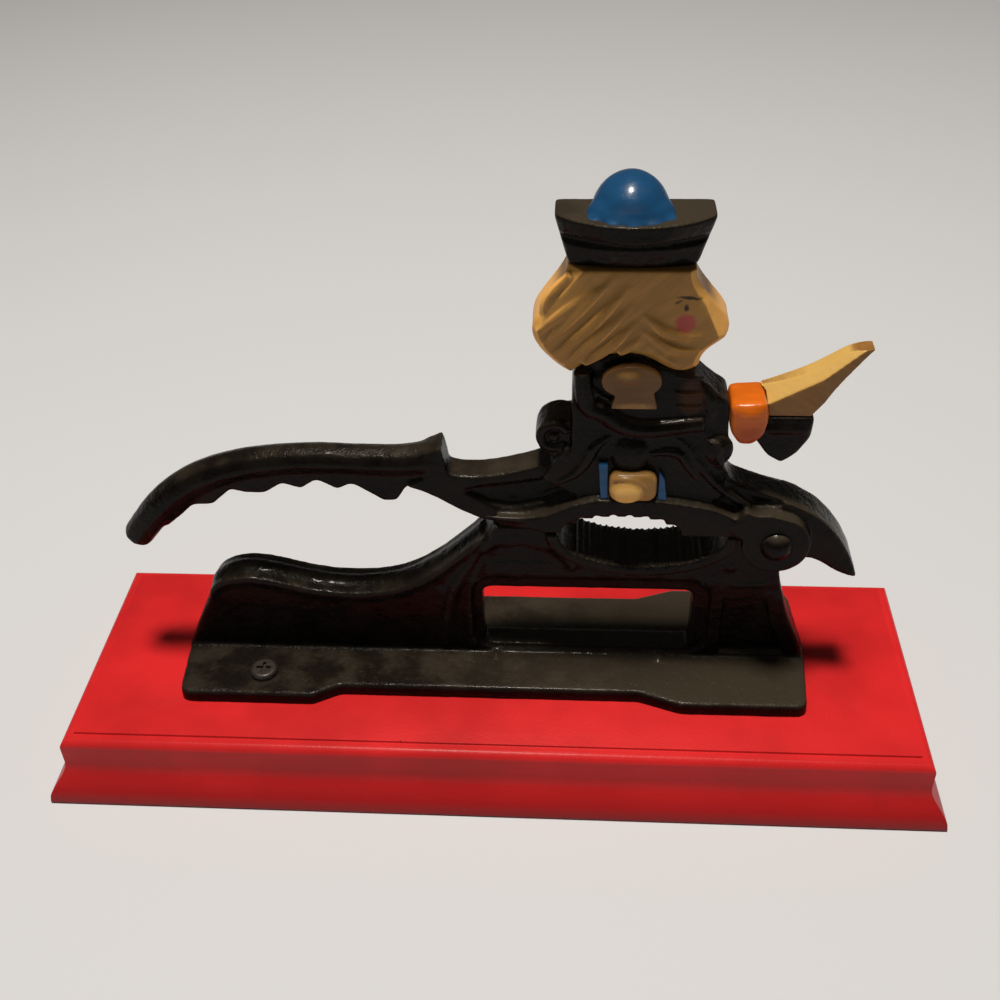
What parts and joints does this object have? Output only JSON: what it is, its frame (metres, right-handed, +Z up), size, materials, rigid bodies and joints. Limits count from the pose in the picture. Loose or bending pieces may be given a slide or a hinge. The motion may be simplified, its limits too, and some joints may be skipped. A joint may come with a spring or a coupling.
{
  "type": "lever nutcracker",
  "caption": "Cast-iron lever nutcracker: ribbed jaws closed by a long finger-notched lever carrying a painted figure, screwed to a moulded wooden plinth.",
  "frame": {"origin": "middle of the plinth's underside, on the surface the nutcracker stands on", "axes": "+X along the plinth from the handle end to the hinge end, +Y across the plinth towards the back, +Z up"},
  "size_m": [0.3048, 0.1016, 0.2069],
  "materials": {
    "red_paint_wood": "satin red paint on routed wood",
    "black_enamel_iron": "thick glossy black enamel on rough cast iron",
    "cream_paint_iron": "brushed cream paint on cast iron",
    "tan_paint_iron": "brushed tan paint on cast iron",
    "gold_paint_iron": "brushed golden cream paint on cast iron",
    "blue_paint_iron": "glossy blue paint on cast iron",
    "orange_paint_iron": "glossy orange paint on cast iron",
    "screw_steel": "darkened steel, painted over"
  },
  "bodies": {
    "base": {"plinth": "red_paint_wood", "lower_casting": "black_enamel_iron", "mounting_screw_front": "screw_steel", "mounting_screw_rear": "screw_steel", "pivot_bolt": "black_enamel_iron", "pivot_nut": "screw_steel"},
    "lever": {"lever_casting": "black_enamel_iron", "figure_coat": "black_enamel_iron", "figure_head": "cream_paint_iron", "figure_hat": "black_enamel_iron", "figure_hat_crown": "blue_paint_iron", "figure_cuff": "orange_paint_iron", "figure_blade": "gold_paint_iron", "figure_mitten": "black_enamel_iron", "figure_chest_hand": "tan_paint_iron", "figure_lap_block": "tan_paint_iron", "figure_breeches": "blue_paint_iron"}
  },
  "joints": [
    {"name": "lever_hinge", "type": "hinge", "parent": "base", "child": "lever", "pos_m": [0.092, 0.004, 0.0855], "axis": [0, 1, 0], "range_deg": [0, 36]}
  ]
}
